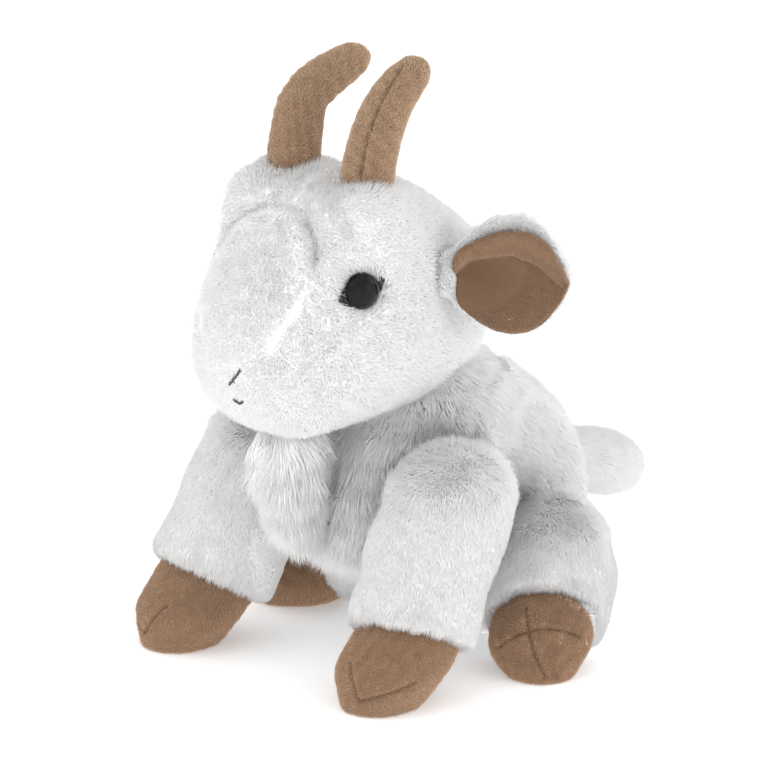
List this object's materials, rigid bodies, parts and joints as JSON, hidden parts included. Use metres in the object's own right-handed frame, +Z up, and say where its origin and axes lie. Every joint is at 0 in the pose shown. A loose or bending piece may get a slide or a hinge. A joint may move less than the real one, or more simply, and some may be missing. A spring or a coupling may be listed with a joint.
{
  "type": "plush goat soft toy",
  "caption": "Sitting plush goat soft toy with curved horns, cupped ears, velour hooves, a hanging beard and soft sewn limbs.",
  "frame": {"origin": "on the floor under the middle of the toy's length and width", "axes": "+Z up, the goat faces -Y, its left side is +X"},
  "size_m": [0.1512, 0.1922, 0.2116],
  "materials": {
    "white_plush": "short soft pile",
    "long_pile": "long combed pile",
    "tan_velour": "short-napped velour",
    "fibre": "loose polyester fibre",
    "pouch_cloth": "plain woven cloth",
    "eye_black": "polished",
    "washer_grey": "moulded",
    "dark_thread": "embroidery thread",
    "black_felt": "felt"
  },
  "bodies": {
    "torso": {"torso_skin": "white_plush", "torso_stuffing": "fibre", "bean_pouch": "pouch_cloth", "seat_panel": "white_plush", "neck_stuffing": "fibre"},
    "neck": {"neck_seam": "white_plush"},
    "head": {"head_skin": "white_plush", "head_stuffing": "fibre", "beard": "long_pile", "mouth_stitch": "dark_thread", "left_eye": "eye_black", "right_eye": "eye_black", "left_eye_washer": "washer_grey", "right_eye_washer": "washer_grey", "left_eye_patch": "black_felt", "right_eye_patch": "black_felt", "left_nostril_stitch": "dark_thread", "right_nostril_stitch": "dark_thread", "left_horn_skin": "tan_velour", "right_horn_skin": "tan_velour", "left_horn_stuffing": "fibre", "right_horn_stuffing": "fibre"},
    "left_ear": {"left_ear_back": "white_plush", "left_ear_lining": "tan_velour"},
    "right_ear": {"right_ear_back": "white_plush", "right_ear_lining": "tan_velour"},
    "left_foreleg": {"left_foreleg_skin": "white_plush", "left_foreleg_stuffing": "fibre", "left_forehoof_upper": "tan_velour", "left_forehoof_sole": "tan_velour"},
    "right_foreleg": {"right_foreleg_skin": "white_plush", "right_foreleg_stuffing": "fibre", "right_forehoof_upper": "tan_velour", "right_forehoof_sole": "tan_velour"},
    "left_hindleg": {"left_hindleg_skin": "white_plush", "left_hindleg_stuffing": "fibre", "left_hindhoof_upper": "tan_velour", "left_hindhoof_sole": "tan_velour"},
    "right_hindleg": {"right_hindleg_skin": "white_plush", "right_hindleg_stuffing": "fibre", "right_hindhoof_upper": "tan_velour", "right_hindhoof_sole": "tan_velour"},
    "tail": {"tail_skin": "white_plush", "tail_stuffing": "fibre"}
  },
  "joints": [
    {"name": "head_turn", "type": "hinge", "parent": "torso", "child": "neck", "pos_m": [0, -0.00681, 0.078], "axis": [0, 0, 1], "range_deg": [-15, 15], "stiffness_Nm_per_rad": 0.25},
    {"name": "head_nod", "type": "hinge", "parent": "neck", "child": "head", "pos_m": [0, -0.00681, 0.078], "axis": [1, 0, 0], "range_deg": [-6, 10], "stiffness_Nm_per_rad": 0.9},
    {"name": "left_foreleg_swing", "type": "hinge", "parent": "torso", "child": "left_foreleg", "pos_m": [0.026, -0.03381, 0.064], "axis": [-1, 0, 0], "range_deg": [-4, 30], "stiffness_Nm_per_rad": 0.12},
    {"name": "left_hindleg_lift", "type": "hinge", "parent": "torso", "child": "left_hindleg", "pos_m": [0.026, 0.02019, 0.032], "axis": [-1, 0, 0], "range_deg": [0, 12], "stiffness_Nm_per_rad": 0.12},
    {"name": "left_ear_flap", "type": "hinge", "parent": "head", "child": "left_ear", "pos_m": [0.04127, -0.03281, 0.13907], "axis": [-0.0362, -0.0346, -0.9987], "range_deg": [-20, 20], "stiffness_Nm_per_rad": 0.02},
    {"name": "right_foreleg_swing", "type": "hinge", "parent": "torso", "child": "right_foreleg", "pos_m": [-0.026, -0.03381, 0.064], "axis": [-1, 0, 0], "range_deg": [-4, 30], "stiffness_Nm_per_rad": 0.12},
    {"name": "right_hindleg_lift", "type": "hinge", "parent": "torso", "child": "right_hindleg", "pos_m": [-0.026, 0.02019, 0.032], "axis": [-1, 0, 0], "range_deg": [0, 12], "stiffness_Nm_per_rad": 0.12},
    {"name": "right_ear_flap", "type": "hinge", "parent": "head", "child": "right_ear", "pos_m": [-0.04127, -0.03281, 0.13907], "axis": [-0.0362, 0.0346, 0.9987], "range_deg": [-20, 20], "stiffness_Nm_per_rad": 0.02},
    {"name": "tail_lift", "type": "hinge", "parent": "torso", "child": "tail", "pos_m": [0, 0.05942, 0.0513], "axis": [1, 0, 0], "range_deg": [-15, 25], "stiffness_Nm_per_rad": 0.03}
  ]
}
